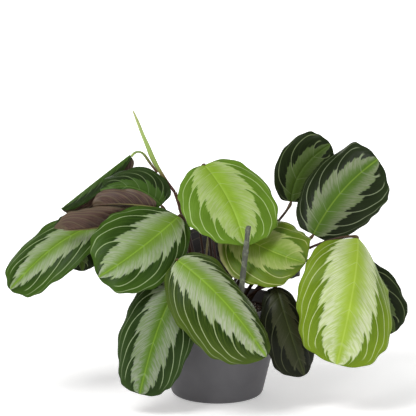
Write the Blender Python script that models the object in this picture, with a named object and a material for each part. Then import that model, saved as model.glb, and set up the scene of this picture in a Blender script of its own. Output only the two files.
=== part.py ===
"""A potted prayer plant: a tapered plastic grow pot, its potting mix, a cane stake, and a clump of leaves.

Metres, +Z up. The origin is the middle of the pot's foot, on the surface that the pot stands on. The front of
the plant faces -Y. Driving dimensions are in millimetres.
"""

import math
from collections import namedtuple

import bmesh
import bpy
import numpy as np
from mathutils import Vector

MM = 0.001
GAP = 0.3  # clearance kept wherever two pieces touch

# Grow pot
POT_HEIGHT = 92.0
POT_FOOT_RADIUS = 44.0  # where the side wall would meet the ground
POT_TOP_RADIUS = 66.0
POT_WALL = 1.6
FOOT_ROUND = 5.0
RIM_WIDTH = 2.6  # how far the rim stands out from the wall
RIM_DEPTH = 8.0
DRAIN_COUNT = 8
DRAIN_RADIUS = 4.0
DRAIN_CIRCLE = 30.0
POT_STEPS = 48

# Potting mix
MIX_TOP = 82.0
MIX_STEPS = 32

# Stake: a short split cane that leans to the right
STAKE_FOOT = (19.0, -49.2, MIX_TOP + GAP)
STAKE_TOP = (28.5, -50.4, 173.0)
STAKE_WIDTH = (6.0, 4.6)  # at its foot and at its top
STAKE_THICKNESS = 3.2
STAKE_KNOT = 0.72  # share of its height where the cane's knot stands proud

# Leaf blades
BLADE_THICKNESS = 0.8
BLADE_ROWS = 9  # cross rows between the two ends
BLADE_HALF_COLUMNS = 4

# Leaf stalks
STALK_FOOT_RADIUS = 2.1
STALK_RADIUS = 1.3
STALK_JOINT_RADIUS = 1.8  # the swollen joint under each blade
STALK_JOINT_LENGTH = 9.0
STALK_POINTS = 10
STALK_LEAN = 0.25  # how far each stalk leans towards its blade while it rises

# Each blade: the start, middle and end of its midrib, its greatest width, the way that it faces (degrees to
# the right of the front, then degrees above level), and for its left and right half, seen from the stalk: the
# angle at which the half leaves the midrib at the base and at the tip, how much further it bends by its
# margin (all in degrees, plus towards the face), how late across the half that bend comes, and its breadth as
# a share of half the width. skew is how much wider the blade is towards its tip than towards its base, entry
# is the length over which its stalk turns into line with it, and foot is where the stalk leaves the mix.
# blunt shapes the outline by the stalk and by the tip: 1 is an ellipse, and a smaller number is squarer.
Leaf = namedtuple(
    "Leaf",
    "base middle tip width facing fold fold_tip curl late halves skew entry foot blunt",
    defaults=((8, 8), None, (-25, -25), (1, 1), (1, 1), 0.14, 14.0, None, (0.86, 0.64)),
)

LEAVES = {
    # the light young leaves in the middle and on the right
    "top_centre": Leaf((-12, 8, 223), (11, -18, 192), (25, -42, 155), 100, (20, 50),
                       curl=(-15, -25), skew=0.0, halves=(0.93, 1), foot=(-2, 10)),
    "centre_right": Leaf((12, -6, 163), (46, -25, 147), (80, -43, 137), 86, (30, 25),
                         curl=(-35, -29), skew=0.0, foot=(12, -8)),
    "right_front": Leaf((131, -44, 160), (123, -84, 121), (109, -88, 53), 98, (-15, 30),
                        fold=(-60, 8), fold_tip=(-12, 8), curl=(-30, -10), skew=0.0, entry=14,
                        foot=(25, -8), blunt=(0.55, 0.45)),
    # the mid-green leaves at the front and on the left
    "front": Leaf((-37, -65, 143), (5, -94, 111), (42, -101, 63), 91, (-20, 30),
                  fold=(-20, 8), fold_tip=(-50, 8), curl=(-60, -15), skew=0.0, entry=9,
                  foot=(0, -36)),
    "left_front": Leaf((-37, -25, 178), (-70, -58, 154), (-107, -74, 130), 88, (-10, 45),
                       fold=(-22, 9), fold_tip=(-2, 18), curl=(-38, 0), skew=0.06, halves=(0.87, 1),
                       foot=(-14, -10)),
    "lower_left": Leaf((-36, -60, 120), (-55, -83, 82), (-71, -84, 24), 72, (5, 15),
                       fold=(8, -12), curl=(-15, -30), skew=-0.12, entry=8, foot=(-19, -20),
                       blunt=(0.7, 0.36)),
    "far_left": Leaf((-105, -2, 169), (-149, -25, 153), (-194, -35, 111), 66, (-20, 40),
                     halves=(1, 0.85), foot=(-27, 1)),
    "folded": Leaf((-80, -16, 177), (-118, -32, 169), (-151, -42, 169), 42, (0, 80),
                   fold=(60, 70), curl=(40, 50), halves=(1, 0.85), foot=(-22, -8)),
    # the dark older leaves
    "upper_left": Leaf((-54, -7, 186), (-80, -6, 203), (-110, -5, 200), 54, (0, 25),
                       fold=(-10, 0), fold_tip=(-10, -30), curl=(-20, -20), skew=-0.2, halves=(0.6, 1),
                       foot=(-21, -3)),
    "turned": Leaf((-59, -14, 184), (-88, -17, 188), (-117, -17, 187), 33, (180, -20),
                   fold=(-30, 40), fold_tip=(-20, 40), curl=(60, 20), halves=(1, 0.5), foot=(-18, -15)),
    "arched": Leaf((-85.6, 28, 230.7), (-115, 28, 208), (-151, 20, 180), 46, (0, 89),
                   fold=(-75, -85), fold_tip=(-50, -95), curl=(-5, 5), halves=(0.5, 1)),
    "left_behind": Leaf((-136, 0, 155), (-132, -4, 138), (-130, -6, 123), 32, (0, 10), foot=(-26, 7)),
    "small": Leaf((-112, 3, 166), (-119, -3, 163), (-125, -5, 157), 12, (0, 30), foot=(-18, 16)),
    "top_right_back": Leaf((73, 34, 184), (84, 40, 215), (110, 38, 239), 54, (10, 10),
                           curl=(-35, -25), foot=(12, 14)),
    "top_right": Leaf((92, -10, 158), (119, 2, 197), (153, 8, 227), 82, (20, 10),
                      fold=(-25, 4), curl=(-50, -10), foot=(20, 2), blunt=(0.86, 0.45)),
    "far_right": Leaf((140, -12, 130), (152, -24, 103), (168, -26, 68), 50, (10, 20), foot=(24, -1)),
    "lower_right": Leaf((55, -48, 114), (66, -68, 79), (80, -64, 36), 56, (20, 20),
                        fold=(8, -15), curl=(-25, -50), entry=7, halves=(0.72, 1), foot=(18, -19)),
    # the leaves at the back
    "back_left": Leaf((-50, 42, 160), (-74, 72, 146), (-94, 96, 106), 82, (200, 45), foot=(-14, 19)),
    "back_centre": Leaf((-18, 46, 186), (0, 82, 180), (12, 112, 150), 84, (175, 60), foot=(-9, 27)),
    "back_right": Leaf((46, 46, 142), (60, 76, 130), (67, 104, 94), 52, (150, 45), foot=(9, 20)),
    "back_low": Leaf((-6, 58, 150), (-10, 84, 130), (-12, 96, 82), 64, (180, 25), foot=(2, 25)),
}

# The main stem, the young leaf that is still rolled, and the stalk of the arched leaf that leaves its side:
# points along each, with its radius there
STEM = [
    ((-17, 3, 82.6), 3.2),
    ((-17, 3, 90), 3.2),
    ((-21, 2, 112), 3.2),
    ((-26, 1, 140), 2.9),
    ((-31, 2, 165), 2.7),
    ((-37, 5, 186), 2.0),
    ((-41, 7, 196.3), 1.7),
]
ROLLED_LEAF = [
    ((-41.3, 7.2, 197), 1.5),
    ((-48.5, 11.5, 206), 1.5),
    ((-54.6, 15, 214.5), 1.9),
    ((-59.4, 15, 222.3), 2.2),
    ((-63.7, 14, 231.2), 2.3),
    ((-67, 13, 240), 2.1),
    ((-71.7, 12, 251.7), 1.8),
    ((-76.3, 10.5, 264), 1.5),
    ((-80.8, 9.5, 275), 1.0),
]
ARCHED_STALK = [
    ((-58.2, 13.2, 215), 1.2),
    ((-65.4, 12.2, 225), 1.4),
    ((-69.6, 13.5, 230.9), 1.4),
    ((-72.6, 16, 233.8), 1.2),
    ((-77, 22, 234.4), 1.1),
    ((-81, 27, 232.6), 1.3),
    ((-83.7, 28, 229.4), 1.5),
]

POT_COLOUR = "545356"
MIX_COLOUR = "2b2019"
STAKE_COLOUR = "55564c"
STEM_COLOUR = "4a3524"
SHOOT_COLOUR = "b5cb78"
STALK_COLOUR = "5c4427"
LIGHT_GREEN = "7fa23c"
MID_GREEN = "54803a"
DARK_GREEN = "22401f"
LIGHT_LEAVES = ("top_centre", "centre_right", "right_front")
MID_LEAVES = ("front", "left_front", "lower_left", "far_left", "small")


def clear_scene():
    for obj in list(bpy.data.objects):
        bpy.data.objects.remove(obj, do_unlink=True)


def linear(hex_colour):
    """A display colour, such as "545356", as the linear colour that a shader takes."""
    channels = [int(hex_colour[i:i + 2], 16) / 255 for i in (0, 2, 4)]
    return [c / 12.92 if c <= 0.04045 else ((c + 0.055) / 1.055) ** 2.4 for c in channels] + [1.0]


def material(name, hex_colour, roughness):
    made = bpy.data.materials.new(name)
    made.use_nodes = True
    shader = made.node_tree.nodes["Principled BSDF"]
    shader.inputs["Base Color"].default_value = linear(hex_colour)
    shader.inputs["Roughness"].default_value = roughness
    shader.inputs["Metallic"].default_value = 0.0
    return made


def link(name, data, finish):
    obj = bpy.data.objects.new(name, data)
    obj.data.materials.append(finish)
    bpy.context.scene.collection.objects.link(obj)
    return obj


def turned(name, profile, steps, finish):
    """A solid of revolution about Z, from a run of (radius, height) points that starts and ends on Z."""
    form = bmesh.new()
    run = [form.verts.new((r * MM, 0, z * MM)) for r, z in profile]
    edges = [form.edges.new(pair) for pair in zip(run, run[1:])]
    bmesh.ops.spin(form, geom=run + edges, cent=(0, 0, 0), axis=(0, 0, 1), angle=2 * math.pi,
                   steps=steps, use_merge=True)
    bmesh.ops.remove_doubles(form, verts=form.verts, dist=1e-6)
    bmesh.ops.recalc_face_normals(form, faces=form.faces)
    mesh = bpy.data.meshes.new(name)
    form.to_mesh(mesh)
    form.free()
    mesh.shade_smooth()
    mesh.set_sharp_from_angle(angle=math.radians(40))
    return link(name, mesh, finish)


def wall_radius(height):
    slope = (POT_TOP_RADIUS - POT_FOOT_RADIUS) / POT_HEIGHT
    return POT_FOOT_RADIUS + slope * height


def pot_profile():
    slope = (POT_TOP_RADIUS - POT_FOOT_RADIUS) / POT_HEIGHT
    lean = math.hypot(1, slope)
    round_centre = wall_radius(FOOT_ROUND) - FOOT_ROUND * lean
    corner = []
    for angle in np.linspace(-math.pi / 2, -math.atan(slope), 5):
        corner.append((round_centre + FOOT_ROUND * math.cos(angle), FOOT_ROUND * (1 + math.sin(angle))))
    rim_foot = POT_HEIGHT - RIM_DEPTH
    rim_outside = POT_TOP_RADIUS + RIM_WIDTH
    inside_top = POT_TOP_RADIUS - POT_WALL
    inside_foot = wall_radius(2 * POT_WALL) - 2 * POT_WALL
    return (
        [(0, 0)]
        + corner
        + [(wall_radius(rim_foot), rim_foot), (rim_outside - 0.8, rim_foot + 0.6)]
        + [(rim_outside, POT_HEIGHT - 1.2), (rim_outside - 1.2, POT_HEIGHT)]
        + [(inside_top, POT_HEIGHT), (inside_foot, POT_WALL), (0, POT_WALL)]
    )


def pot(finish):
    body = turned("pot", pot_profile(), POT_STEPS, finish)
    form = bmesh.new()
    for i in range(DRAIN_COUNT):
        angle = 2 * math.pi * (i + 0.5) / DRAIN_COUNT
        made = bmesh.ops.create_cone(form, cap_ends=True, segments=12, radius1=DRAIN_RADIUS * MM,
                                     radius2=DRAIN_RADIUS * MM, depth=4 * POT_WALL * MM)
        place = Vector((math.cos(angle), math.sin(angle), 0)) * DRAIN_CIRCLE * MM
        bmesh.ops.translate(form, verts=made["verts"], vec=place)
    mesh = bpy.data.meshes.new("drain_cutters")
    form.to_mesh(mesh)
    form.free()
    cutter = link("drain_cutters", mesh, finish)
    cutter.hide_render = True
    cutter.display_type = "WIRE"
    cut = body.modifiers.new("drain holes", "BOOLEAN")
    cut.object = cutter
    cut.operation = "DIFFERENCE"


def potting_mix(finish):
    bottom = POT_WALL + GAP
    inside_foot = wall_radius(2 * POT_WALL) - 2 * POT_WALL
    inside_slope = (POT_TOP_RADIUS - POT_WALL - inside_foot) / (POT_HEIGHT - POT_WALL)

    def inside(height):
        return inside_foot + inside_slope * (height - POT_WALL) - 1.5 * GAP

    profile = [(0, bottom), (inside(bottom), bottom), (inside(MIX_TOP - 1.5), MIX_TOP - 1.5)]
    profile += [(inside(MIX_TOP) - 3, MIX_TOP), (0, MIX_TOP)]
    turned("potting_mix", profile, MIX_STEPS, finish)


def stake(finish):
    """A split cane: flat behind, round in front, tapering upwards, with one knot, and worn at its top."""
    foot = Vector(STAKE_FOOT)
    rise = Vector(STAKE_TOP) - foot
    form = bmesh.new()
    rings = []
    for share in (0.0, 0.4, STAKE_KNOT - 0.04, STAKE_KNOT, STAKE_KNOT + 0.05, 0.97, 1.0):
        half = 0.5 * (STAKE_WIDTH[0] + (STAKE_WIDTH[1] - STAKE_WIDTH[0]) * share)
        if share == STAKE_KNOT:
            half += 0.9
        if share == 1.0:
            half -= 0.7
        ring = []
        for angle in np.linspace(0, -math.pi, 6):
            side = half * math.cos(angle)
            depth = STAKE_THICKNESS * math.sin(angle)
            ring.append(form.verts.new((foot + rise * share + Vector((side, depth, 0))) * MM))
        rings.append(ring)
    for lower, upper in zip(rings, rings[1:]):
        for i, corner in enumerate(lower):
            after = (i + 1) % len(lower)
            form.faces.new((corner, lower[after], upper[after], upper[i]))
    form.faces.new(rings[0])
    form.faces.new(rings[-1])
    bmesh.ops.recalc_face_normals(form, faces=form.faces)
    mesh = bpy.data.meshes.new("stake")
    form.to_mesh(mesh)
    form.free()
    link("stake", mesh, finish)


def tube(name, points, radii, finish):
    """A round stem through the points, of the radius given at each."""
    curve = bpy.data.curves.new(name, "CURVE")
    curve.dimensions = "3D"
    curve.bevel_depth = MM
    curve.bevel_resolution = 2
    curve.use_fill_caps = True
    spline = curve.splines.new("POLY")
    spline.points.add(len(points) - 1)
    for target, point, radius in zip(spline.points, points, radii):
        target.co = (*(Vector(point) * MM), 1)
        target.radius = radius
    return link(name, curve, finish)


def smooth_tube(name, stations, per_span, finish):
    """A round stem on a smooth curve through the stations, each a point and the radius there."""
    rows = [np.array([*point, radius], float) for point, radius in stations]
    rows = [2 * rows[0] - rows[1], *rows, 2 * rows[-1] - rows[-2]]
    path = []
    for before, start, end, after in zip(rows, rows[1:], rows[2:], rows[3:]):
        for i in range(per_span):
            t = i / per_span
            path.append(0.5 * (2 * start + (end - before) * t
                               + (2 * before - 5 * start + 4 * end - after) * t ** 2
                               + (3 * start - before - 3 * end + after) * t ** 3))
    path.append(rows[-2])
    return tube(name, [p[:3] for p in path], [p[3] for p in path], finish)


def midrib(leaf):
    """The midrib as one smooth curve through its middle: its points, the length so far, and its tangents."""
    base, middle, tip = (np.array(p, float) for p in (leaf.base, leaf.middle, leaf.tip))
    handle = 2 * middle - (base + tip) / 2
    t = np.linspace(0, 1, 61)[:, None]
    points = (1 - t) ** 2 * base + 2 * t * (1 - t) * handle + t ** 2 * tip
    tangents = (1 - t) * (handle - base) + t * (tip - handle)
    tangents /= np.linalg.norm(tangents, axis=1, keepdims=True)
    so_far = np.concatenate([[0], np.cumsum(np.linalg.norm(np.diff(points, axis=0), axis=1))])
    return points, so_far, tangents


def facing_direction(facing):
    turn, rise = (math.radians(a) for a in facing)
    return np.array([math.sin(turn) * math.cos(rise), -math.cos(turn) * math.cos(rise), math.sin(rise)])


def blade_point(leaf, rib, way_round, across):
    """A point in the middle of the blade's thickness, and the way the face looks there.

    way_round runs 0 to 1 along the margin from the stalk to the tip, and across runs from -1 at the left
    margin over 0 at the midrib to 1 at the right margin.
    """
    points, so_far, tangents = rib
    length = so_far[-1]
    angle = math.pi * way_round
    blunt = leaf.blunt[0] + (leaf.blunt[1] - leaf.blunt[0]) * way_round
    widest = (leaf.width / 2) * (1 - leaf.skew * math.cos(angle)) / (1 + leaf.skew ** 2 / 2)
    margin_out = widest * max(math.sin(angle), 0.0) ** blunt
    margin_along = length * (1 - math.cos(angle)) / 2
    margin_along -= 0.02 * length * math.exp(-(((way_round - 0.12) / 0.06) ** 2))
    rib_along = length * way_round ** 2.1
    half = 0 if across < 0 else 1
    side = -1 if across < 0 else 1
    share = abs(across)
    along = rib_along + (margin_along - rib_along) * (0.6 * share + 0.4 * share ** 3)
    out = margin_out * share * leaf.halves[half]

    on_rib = min(max(along, 0.0), length)
    origin = np.array([np.interp(on_rib, so_far, points[:, k]) for k in range(3)])
    tangent = np.array([np.interp(on_rib, so_far, tangents[:, k]) for k in range(3)])
    tangent /= np.linalg.norm(tangent)
    right = np.cross(tangent, facing_direction(leaf.facing))
    right /= np.linalg.norm(right)
    face = np.cross(right, tangent)

    fold_tip = leaf.fold_tip or leaf.fold
    fold = leaf.fold[half] + (fold_tip[half] - leaf.fold[half]) * on_rib / length
    half_width = leaf.width / 2 * leaf.halves[half]

    def bend(distance):
        return math.radians(fold + leaf.curl[half] * (distance / half_width) ** leaf.late[half])

    steps = 24
    sideways, lift = 0.0, 0.0
    for i in range(steps):
        angle = bend(out * (i + 0.5) / steps)
        sideways += math.cos(angle) * out / steps
        lift += math.sin(angle) * out / steps
    point = origin + tangent * (along - on_rib) + right * side * sideways + face * lift
    if across == 0:
        return point, face
    return point, face * math.cos(bend(out)) - right * side * math.sin(bend(out))


def blade(name, leaf, finish):
    """A thin closed shell: the face and the back of the blade, joined all round the margin."""
    rib = midrib(leaf)
    rows = np.linspace(0, 1, BLADE_ROWS + 2)[1:-1]
    columns = np.linspace(-1, 1, 2 * BLADE_HALF_COLUMNS + 1)
    form = bmesh.new()
    skins = []
    for lift in (BLADE_THICKNESS / 2, -BLADE_THICKNESS / 2):
        def place(row, column):
            point, normal = blade_point(leaf, rib, row, column)
            return form.verts.new(Vector(point + normal * lift) * MM)
        grid = [[place(row, column) for column in columns] for row in rows]
        skins.append((place(0.0, 0.0), grid, place(1.0, 0.0)))
    for base, grid, tip in skins:
        for near, far in zip(grid, grid[1:]):
            for i in range(len(columns) - 1):
                form.faces.new((near[i], near[i + 1], far[i + 1], far[i]))
        for i in range(len(columns) - 1):
            form.faces.new((base, grid[0][i + 1], grid[0][i]))
            form.faces.new((tip, grid[-1][i], grid[-1][i + 1]))
    (base, grid, tip), (base_back, grid_back, tip_back) = skins
    for edge in (0, -1):
        face_run = [base] + [row[edge] for row in grid] + [tip]
        back_run = [base_back] + [row[edge] for row in grid_back] + [tip_back]
        for i in range(len(face_run) - 1):
            form.faces.new((face_run[i], face_run[i + 1], back_run[i + 1], back_run[i]))
    bmesh.ops.recalc_face_normals(form, faces=form.faces)
    mesh = bpy.data.meshes.new(name)
    form.to_mesh(mesh)
    form.free()
    mesh.shade_smooth()
    mesh.set_sharp_from_angle(angle=math.radians(60))
    link(name, mesh, finish)


def stalk(name, leaf, finish):
    """From the potting mix up, then over into line with the midrib, ending just short of the blade."""
    foot = np.array([*leaf.foot, MIX_TOP + GAP])
    base = np.array(leaf.base, float)
    entry = midrib(leaf)[2][0]
    end = base - 1.2 * GAP * entry
    distance = np.linalg.norm(end - foot)
    lean = STALK_LEAN * (end - foot) * [1, 1, 0]
    handles = (foot, foot + lean + [0, 0, 0.5 * distance], end - leaf.entry * entry, end)
    t = np.linspace(0, 1, 101)[:, None]
    fine = sum(c * (1 - t) ** (3 - k) * t ** k * h for k, (c, h) in enumerate(zip((1, 3, 3, 1), handles)))
    so_far = np.concatenate([[0], np.cumsum(np.linalg.norm(np.diff(fine, axis=0), axis=1))])
    length = so_far[-1]
    joint = STALK_JOINT_LENGTH
    stations = [0.0, 3.0, *np.linspace(10, length - 1.6 * joint, STALK_POINTS - 5)]
    stations += [length - joint, length - joint / 2, length - 1.2, length]
    points = [[np.interp(s, so_far, fine[:, k]) for k in range(3)] for s in stations]
    points[1][:2] = points[0][:2]
    radii = []
    for s in stations:
        swelling = max(0.0, 1 - (length - s) / STALK_JOINT_LENGTH)
        slim = STALK_FOOT_RADIUS + (STALK_RADIUS - STALK_FOOT_RADIUS) * min(1.0, 1.6 * s / length)
        radii.append(slim + (STALK_JOINT_RADIUS - STALK_RADIUS) * min(1.0, 2 * swelling))
    tube(name, points, radii, finish)


def leaves():
    light = material("light young leaf", LIGHT_GREEN, 0.35)
    middle = material("green leaf", MID_GREEN, 0.35)
    dark = material("dark older leaf", DARK_GREEN, 0.35)
    stalks = material("red-brown leaf stalk", STALK_COLOUR, 0.5)
    for name, leaf in LEAVES.items():
        finish = light if name in LIGHT_LEAVES else middle if name in MID_LEAVES else dark
        blade("leaf_" + name, leaf, finish)
        if leaf.foot:
            stalk("stalk_" + name, leaf, stalks)
    smooth_tube("stalk_arched", ARCHED_STALK, 2, stalks)


clear_scene()
pot(material("matt grey plastic", POT_COLOUR, 0.6))
potting_mix(material("potting mix", MIX_COLOUR, 0.95))
stake(material("weathered cane", STAKE_COLOUR, 0.8))
smooth_tube("stem", STEM, 3, material("brown stem", STEM_COLOUR, 0.6))
smooth_tube("rolled_leaf", ROLLED_LEAF, 2, material("pale green shoot", SHOOT_COLOUR, 0.4))
leaves()
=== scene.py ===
"""The looks of a potted prayer plant: a matt grey grow pot, its potting mix, a cane stake, and the leaves."""

import math
import random
from collections import namedtuple

import bmesh
import bpy
import numpy as np
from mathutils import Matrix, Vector, noise


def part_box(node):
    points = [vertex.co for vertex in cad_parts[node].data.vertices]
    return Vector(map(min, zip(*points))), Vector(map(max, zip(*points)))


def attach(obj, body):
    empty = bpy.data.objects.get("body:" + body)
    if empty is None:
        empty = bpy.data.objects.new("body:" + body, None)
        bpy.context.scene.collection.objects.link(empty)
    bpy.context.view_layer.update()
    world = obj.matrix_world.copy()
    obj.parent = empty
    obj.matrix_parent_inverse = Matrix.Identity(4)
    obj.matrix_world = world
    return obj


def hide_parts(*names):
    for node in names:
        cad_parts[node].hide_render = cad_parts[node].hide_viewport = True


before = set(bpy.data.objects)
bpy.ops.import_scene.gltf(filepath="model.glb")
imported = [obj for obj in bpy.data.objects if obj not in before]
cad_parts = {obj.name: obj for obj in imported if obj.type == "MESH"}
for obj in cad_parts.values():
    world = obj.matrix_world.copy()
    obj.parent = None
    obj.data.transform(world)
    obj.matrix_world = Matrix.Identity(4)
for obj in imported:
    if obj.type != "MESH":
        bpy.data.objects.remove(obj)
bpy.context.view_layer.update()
bpy.ops.object.select_all(action="DESELECT")


# --------------------------------------------------------------------------------------------------
# Room: a sweep of milky sheet glowing as if lit from behind, curved up at the back so that no edge shows; it
# glows less near the pot, a painted shadow.
# One large soft box hangs high on the left, and a weaker one stands on the right
# --------------------------------------------------------------------------------------------------

MM = 0.001
EYE = (-0.009, -1.300, 0.365)
EYE_DOWN = 8  # degrees below level
LENS = 118
FLOOR_SIZE = 12
SWEEP_BACK = 2.2
SWEEP_ROUND = 0.6
SWEEP_STEPS = 10
SWEEP_RISE = 1.2
# the sheet glows less near the pot than far from it: a painted shadow round the pot
SHEET_GLOW_AND_PAINTED_SHADOW = ((0.1, 0.36), (0.7, 0.75))  # near the pot, then far from it: distance in metres, and glow
ROOM_GLOW = 0.36
KEY_WATTS = 27
FILL_WATTS = 6
LIT_PLACE = (0, 0, 0.12)  # where both soft boxes point


def linear(hex_colour):
    """A display colour, such as "545356", as the linear colour that a shader takes."""
    channels = [int(hex_colour[i:i + 2], 16) / 255 for i in (0, 2, 4)]
    return [c / 12.92 if c <= 0.04045 else ((c + 0.055) / 1.055) ** 2.4 for c in channels] + [1.0]


def add_node(tree, kind, inputs=(), **settings):
    """A new shader node with its settings, its input values, and its links where an input is a socket."""
    node = tree.nodes.new(kind)
    for setting, value in settings.items():
        setattr(node, setting, value)
    for socket, value in dict(inputs).items():
        if isinstance(value, bpy.types.NodeSocket):
            tree.links.new(value, node.inputs[socket])
        else:
            node.inputs[socket].default_value = value
    return node


def new_material(name, roughness, ior=1.46):
    """A material with its node tree and its shader, the shader's even values already set."""
    material = bpy.data.materials.new(name)
    material.use_nodes = True
    tree = material.node_tree
    shader = tree.nodes["Principled BSDF"]
    shader.inputs["Roughness"].default_value = roughness
    shader.inputs["IOR"].default_value = ior
    return material, tree, shader


def glowing_sweep_with_painted_shadow():
    """A sweep of milky sheet glowing as if lit from behind, dimmer near the pot as a painted shadow: matt
    white, faintly cloudy.
    """
    material, tree, shader = new_material("milky sheet with painted shadow by the pot", 0.8)
    shader.inputs["Emission Color"].default_value = (1.0, 1.0, 1.0, 1.0)
    where = add_node(tree, "ShaderNodeTexCoord").outputs["Object"]
    away = add_node(tree, "ShaderNodeVectorMath", {0: where}, operation="LENGTH").outputs["Value"]
    # the emission falls towards the pot: a painted shadow on the floor round it
    (near, low), (far, high) = SHEET_GLOW_AND_PAINTED_SHADOW
    glow = add_node(tree, "ShaderNodeMapRange", {"Value": away, "From Min": near, "From Max": far,
                                                 "To Min": low, "To Max": high},
                    interpolation_type="SMOOTHSTEP")
    tree.links.new(glow.outputs["Result"], shader.inputs["Emission Strength"])
    cloud = add_node(tree, "ShaderNodeTexNoise", {"Vector": where, "Scale": 3.0, "Detail": 2.0})
    tone = add_node(tree, "ShaderNodeMix", {0: cloud.outputs["Fac"], 6: linear("f6f6f5"),
                                            7: linear("fcfcfb")}, data_type="RGBA")
    tree.links.new(tone.outputs[2], shader.inputs["Base Color"])
    return material


def soft_box(name, place, aim, size, power):
    """A round soft box at a place, turned to face another: size in metres across, power in watts."""
    bpy.ops.object.light_add(type="AREA", location=place)
    light = bpy.context.object
    light.name = name
    light.data.shape = "DISK"
    light.data.size = size
    light.data.energy = power
    light.rotation_euler = (Vector(aim) - Vector(place)).to_track_quat("-Z", "Y").to_euler()


bpy.ops.object.camera_add(location=EYE, rotation=(math.radians(90 - EYE_DOWN), 0, 0))
bpy.context.object.data.lens = LENS
bpy.context.scene.camera = bpy.context.object
bpy.context.scene.view_settings.view_transform = "Standard"

bpy.ops.mesh.primitive_plane_add(size=FLOOR_SIZE)
floor = bpy.context.object
floor.name = "floor"
bpy.ops.object.mode_set(mode="EDIT")
bpy.ops.mesh.select_all(action="SELECT")
bpy.ops.mesh.bisect(plane_co=(0, SWEEP_BACK, 0), plane_no=(0, 1, 0), clear_outer=True)
bpy.ops.object.mode_set(mode="OBJECT")
for edge in floor.data.edges:
    edge.select = all(floor.data.vertices[i].co.y > SWEEP_BACK - 0.01 for i in edge.vertices)
bpy.ops.object.mode_set(mode="EDIT")
for step in range(SWEEP_STEPS):
    lean = math.radians(90 * (step + 0.5) / SWEEP_STEPS)
    size = SWEEP_ROUND * math.radians(90 / SWEEP_STEPS)
    bpy.ops.mesh.extrude_region_move(TRANSFORM_OT_translate={
        "value": (0, size * math.cos(lean), size * math.sin(lean))})
bpy.ops.mesh.extrude_region_move(TRANSFORM_OT_translate={"value": (0, 0, SWEEP_RISE)})
bpy.ops.object.mode_set(mode="OBJECT")
bpy.ops.object.shade_smooth()
floor.data.materials.append(glowing_sweep_with_painted_shadow())

world = bpy.data.worlds.new("studio")
world.use_nodes = True
world.node_tree.nodes["Background"].inputs["Color"].default_value = (1.0, 1.0, 1.0, 1.0)
world.node_tree.nodes["Background"].inputs["Strength"].default_value = ROOM_GLOW
bpy.context.scene.world = world

soft_box("key", (-0.9, -1.1, 1.9), LIT_PLACE, 1.0, KEY_WATTS)
soft_box("fill", (1.6, -1.2, 1.0), LIT_PLACE, 1.4, FILL_WATTS)


# --------------------------------------------------------------------------------------------------
# Pot: a round tapered grow pot, injection moulded in dark grey polypropylene with a spark-eroded matt skin,
# with a folded rim and a ring of drain holes punched in its flat foot
# --------------------------------------------------------------------------------------------------

POT_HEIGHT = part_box("pot")[1].z / MM
RIM_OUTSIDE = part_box("pot")[1].x / MM
RIM_WIDTH = 2.6
RIM_DEPTH = 8.0
POT_TOP_RADIUS = RIM_OUTSIDE - RIM_WIDTH
POT_FOOT_RADIUS = 44.0
POT_WALL = 1.6
FOOT_ROUND = 5.0
STEP_ROUND = 0.9  # the inner curve where the wall meets the rim
RIM_FOOT_ROUND = 1.3
RIM_TOP_ROUND = 1.2
LIP_ROUND = 0.8  # the rim's inner edge
POT_SEGMENTS = 128
DRAIN_COUNT = 8
DRAIN_RADIUS = 4.0
DRAIN_CIRCLE = 30.0


def finish_piece(piece, name, slot, *nodes):
    """Names the piece, lets it stand for its CAD nodes, and ties it to the plant's one body."""
    piece.name = name
    piece.data.name = name
    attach(piece, "root")
    if nodes:
        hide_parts(*nodes)


def turned(profile, segments):
    """A form turned about Z: a disc whose face is drawn up the profile, a run of (radius, height) in mm."""
    (radius, height), *rest = profile
    bpy.ops.object.select_all(action="DESELECT")
    bpy.ops.mesh.primitive_circle_add(vertices=segments, radius=radius * MM, fill_type="NGON",
                                      location=(0, 0, height * MM))
    bpy.ops.object.transform_apply(location=True)
    bpy.ops.object.mode_set(mode="EDIT")
    bpy.ops.mesh.select_all(action="SELECT")
    for wider, higher in rest:
        bpy.ops.mesh.extrude_region_move(TRANSFORM_OT_translate={"value": (0, 0, (higher - height) * MM)})
        bpy.ops.transform.resize(value=(wider / radius, wider / radius, 1),
                                 center_override=(0, 0, higher * MM))
        radius, height = wider, higher
    bpy.ops.mesh.select_all(action="SELECT")
    bpy.ops.mesh.normals_make_consistent(inside=False)
    bpy.ops.object.mode_set(mode="OBJECT")
    return bpy.context.object


def rounded(centre, radius, start, stop, steps):
    """Points of an arc in the profile, from one angle to another, in degrees."""
    angles = [math.radians(start + (stop - start) * i / steps) for i in range(steps + 1)]
    return [(centre[0] + radius * math.cos(a), centre[1] + radius * math.sin(a)) for a in angles]


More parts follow.
